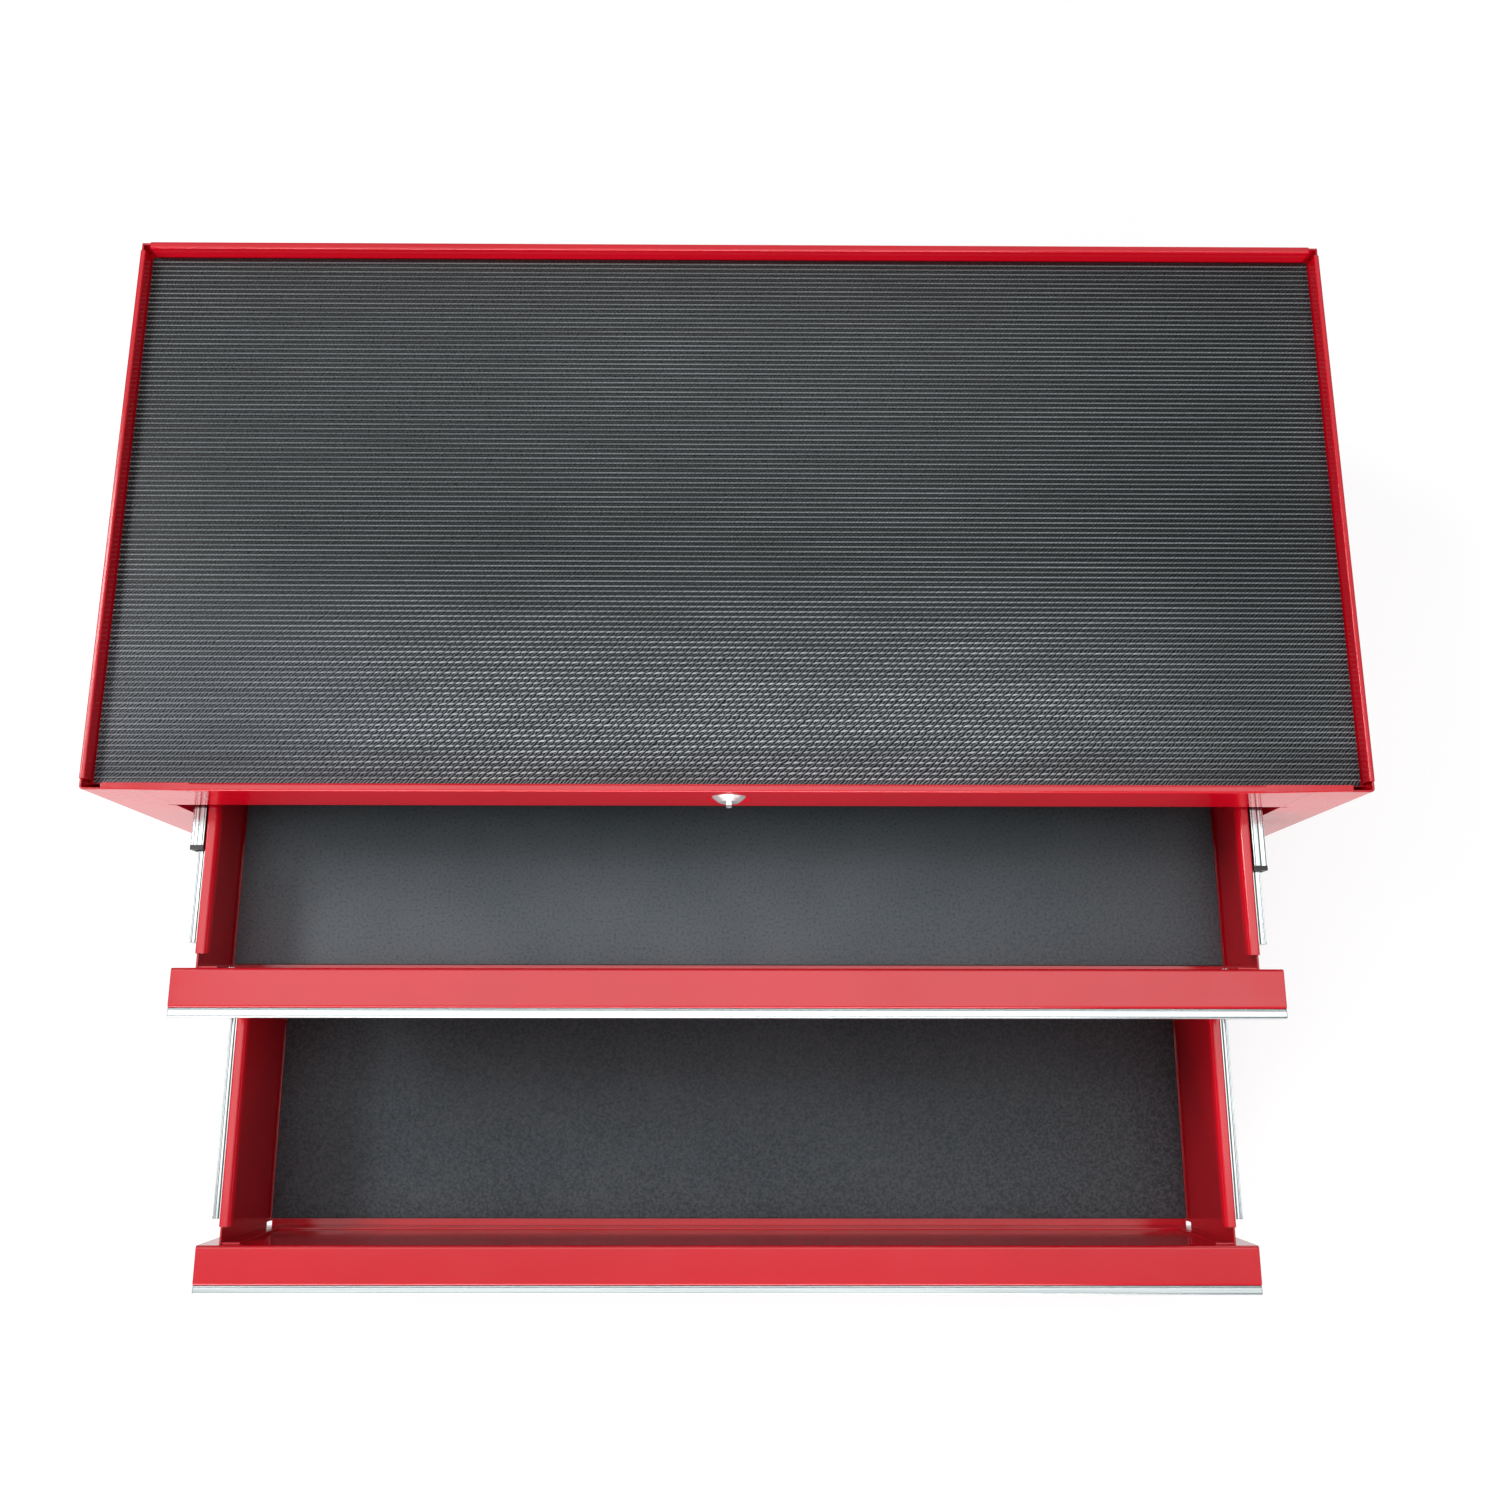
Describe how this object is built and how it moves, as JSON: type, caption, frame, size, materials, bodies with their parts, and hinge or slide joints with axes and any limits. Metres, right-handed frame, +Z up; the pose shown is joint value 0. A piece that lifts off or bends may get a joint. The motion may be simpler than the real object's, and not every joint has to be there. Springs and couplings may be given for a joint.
{
  "type": "intermediate tool chest",
  "caption": "Red sheet-steel tool chest section with ball-bearing drawers, a ribbed mat in the top tray, aluminium drawer pulls and a key lock that holds the drawers shut.",
  "frame": {"origin": "centre of the cabinet's underside", "axes": "+Z up, +X to the right seen from the front, and the drawers pull out towards -Y"},
  "size_m": [0.66, 0.5719, 0.216],
  "materials": {
    "red_paint": "glossy red powder coat on folded sheet steel",
    "tray_rubber": "satin black non-slip mat with rows of fine slanted ribs",
    "liner_foam": "matt charcoal foam with a fine grain",
    "bright_aluminium": "bright anodised extrusion",
    "zinc_steel": "bright zinc-plated pressed steel",
    "black_plastic": "moulded black plastic",
    "lock_chrome": "polished chrome plate",
    "plain_steel": "plain zinc-plated steel"
  },
  "bodies": {
    "cabinet": {"back_panel": "red_paint", "bottom_panel": "red_paint", "front_header": "red_paint", "left_front_upright": "red_paint", "left_rear_upright": "red_paint", "left_side_panel": "red_paint", "lock_bar_guides": "plain_steel", "lock_body": "lock_chrome", "lock_horseshoe": "plain_steel", "lock_rod_bracket": "plain_steel", "lower_left_slide_cabinet_member": "zinc_steel", "lower_right_slide_cabinet_member": "zinc_steel", "right_front_upright": "red_paint", "right_rear_upright": "red_paint", "right_side_panel": "red_paint", "slide_mount_rivets": "zinc_steel", "tray_mat": "tray_rubber", "tray_panel": "red_paint", "upper_left_slide_cabinet_member": "zinc_steel", "upper_right_slide_cabinet_member": "zinc_steel"},
    "lock_bar": {"lock_bar": "plain_steel"},
    "lock": {"lock_clip": "plain_steel", "lock_plug": "lock_chrome", "lock_rod": "plain_steel"},
    "lower_drawer": {"lower_drawer_back": "red_paint", "lower_drawer_box": "red_paint", "lower_drawer_catch": "zinc_steel", "lower_drawer_front": "red_paint", "lower_drawer_liner": "liner_foam", "lower_drawer_rivets": "zinc_steel", "lower_drawer_trim": "bright_aluminium", "lower_left_slide_drawer_member": "zinc_steel", "lower_right_slide_drawer_member": "zinc_steel"},
    "lower_left_middle_member": {"lower_left_slide_bumper": "black_plastic", "lower_left_slide_middle_member": "zinc_steel"},
    "lower_left_inner_cage": {"lower_left_slide_inner_cage": "zinc_steel"},
    "lower_left_outer_cage": {"lower_left_slide_outer_cage": "zinc_steel"},
    "lower_right_middle_member": {"lower_right_slide_bumper": "black_plastic", "lower_right_slide_middle_member": "zinc_steel"},
    "lower_right_inner_cage": {"lower_right_slide_inner_cage": "zinc_steel"},
    "lower_right_outer_cage": {"lower_right_slide_outer_cage": "zinc_steel"},
    "upper_drawer": {"upper_drawer_back": "red_paint", "upper_drawer_box": "red_paint", "upper_drawer_catch": "zinc_steel", "upper_drawer_front": "red_paint", "upper_drawer_liner": "liner_foam", "upper_drawer_rivets": "zinc_steel", "upper_drawer_trim": "bright_aluminium", "upper_left_slide_drawer_member": "zinc_steel", "upper_right_slide_drawer_member": "zinc_steel"},
    "upper_left_middle_member": {"upper_left_slide_bumper": "black_plastic", "upper_left_slide_middle_member": "zinc_steel"},
    "upper_left_inner_cage": {"upper_left_slide_inner_cage": "zinc_steel"},
    "upper_left_outer_cage": {"upper_left_slide_outer_cage": "zinc_steel"},
    "upper_right_middle_member": {"upper_right_slide_bumper": "black_plastic", "upper_right_slide_middle_member": "zinc_steel"},
    "upper_right_inner_cage": {"upper_right_slide_inner_cage": "zinc_steel"},
    "upper_right_outer_cage": {"upper_right_slide_outer_cage": "zinc_steel"}
  },
  "joints": [
    {"name": "upper_drawer_slide", "type": "slide", "parent": "cabinet", "child": "upper_drawer", "axis": [0, -1, 0], "range_m": [-0.0875, 0.1575]},
    {"name": "lower_drawer_slide", "type": "slide", "parent": "cabinet", "child": "lower_drawer", "axis": [0, -1, 0], "range_m": [-0.235, 0.01]},
    {"name": "lower_left_middle_member_slide", "type": "slide", "parent": "cabinet", "child": "lower_left_middle_member", "axis": [0, -1, 0], "range_m": [-0.11751, 0.00501]},
    {"name": "lower_left_inner_cage_slide", "type": "slide", "parent": "cabinet", "child": "lower_left_inner_cage", "axis": [0, -1, 0], "range_m": [-0.17626, 0.00751]},
    {"name": "lower_left_outer_cage_slide", "type": "slide", "parent": "cabinet", "child": "lower_left_outer_cage", "axis": [0, -1, 0], "range_m": [-0.05876, 0.00251]},
    {"name": "lower_right_middle_member_slide", "type": "slide", "parent": "cabinet", "child": "lower_right_middle_member", "axis": [0, -1, 0], "range_m": [-0.11751, 0.00501]},
    {"name": "lower_right_inner_cage_slide", "type": "slide", "parent": "cabinet", "child": "lower_right_inner_cage", "axis": [0, -1, 0], "range_m": [-0.17626, 0.00751]},
    {"name": "lower_right_outer_cage_slide", "type": "slide", "parent": "cabinet", "child": "lower_right_outer_cage", "axis": [0, -1, 0], "range_m": [-0.05876, 0.00251]},
    {"name": "upper_left_middle_member_slide", "type": "slide", "parent": "cabinet", "child": "upper_left_middle_member", "axis": [0, -1, 0], "range_m": [-0.04376, 0.07876]},
    {"name": "upper_left_inner_cage_slide", "type": "slide", "parent": "cabinet", "child": "upper_left_inner_cage", "axis": [0, -1, 0], "range_m": [-0.06563, 0.11814]},
    {"name": "upper_left_outer_cage_slide", "type": "slide", "parent": "cabinet", "child": "upper_left_outer_cage", "axis": [0, -1, 0], "range_m": [-0.02189, 0.03939]},
    {"name": "upper_right_middle_member_slide", "type": "slide", "parent": "cabinet", "child": "upper_right_middle_member", "axis": [0, -1, 0], "range_m": [-0.04376, 0.07876]},
    {"name": "upper_right_inner_cage_slide", "type": "slide", "parent": "cabinet", "child": "upper_right_inner_cage", "axis": [0, -1, 0], "range_m": [-0.06563, 0.11814]},
    {"name": "upper_right_outer_cage_slide", "type": "slide", "parent": "cabinet", "child": "upper_right_outer_cage", "axis": [0, -1, 0], "range_m": [-0.02189, 0.03939]},
    {"name": "lock_turn", "type": "hinge", "parent": "cabinet", "child": "lock", "pos_m": [0, -0.156, 0.1975], "axis": [0, -1, 0], "range_deg": [0, 90]},
    {"name": "lock_bar_slide", "type": "slide", "parent": "cabinet", "child": "lock_bar", "axis": [0, 0, 1], "range_m": [0, 0.00735]}
  ],
  "couplings": [
    {"joint": "lower_left_middle_member_slide", "follows": "lower_drawer_slide", "ratio": 0.5},
    {"joint": "lower_left_inner_cage_slide", "follows": "lower_drawer_slide", "ratio": 0.75},
    {"joint": "lower_left_outer_cage_slide", "follows": "lower_drawer_slide", "ratio": 0.25},
    {"joint": "lower_right_middle_member_slide", "follows": "lower_drawer_slide", "ratio": 0.5},
    {"joint": "lower_right_inner_cage_slide", "follows": "lower_drawer_slide", "ratio": 0.75},
    {"joint": "lower_right_outer_cage_slide", "follows": "lower_drawer_slide", "ratio": 0.25},
    {"joint": "upper_left_middle_member_slide", "follows": "upper_drawer_slide", "ratio": 0.5},
    {"joint": "upper_left_inner_cage_slide", "follows": "upper_drawer_slide", "ratio": 0.75},
    {"joint": "upper_left_outer_cage_slide", "follows": "upper_drawer_slide", "ratio": 0.25},
    {"joint": "upper_right_middle_member_slide", "follows": "upper_drawer_slide", "ratio": 0.5},
    {"joint": "upper_right_inner_cage_slide", "follows": "upper_drawer_slide", "ratio": 0.75},
    {"joint": "upper_right_outer_cage_slide", "follows": "upper_drawer_slide", "ratio": 0.25},
    {"joint": "lock_turn", "follows": "lock_bar_slide", "rad_per_m": 213.76}
  ]
}
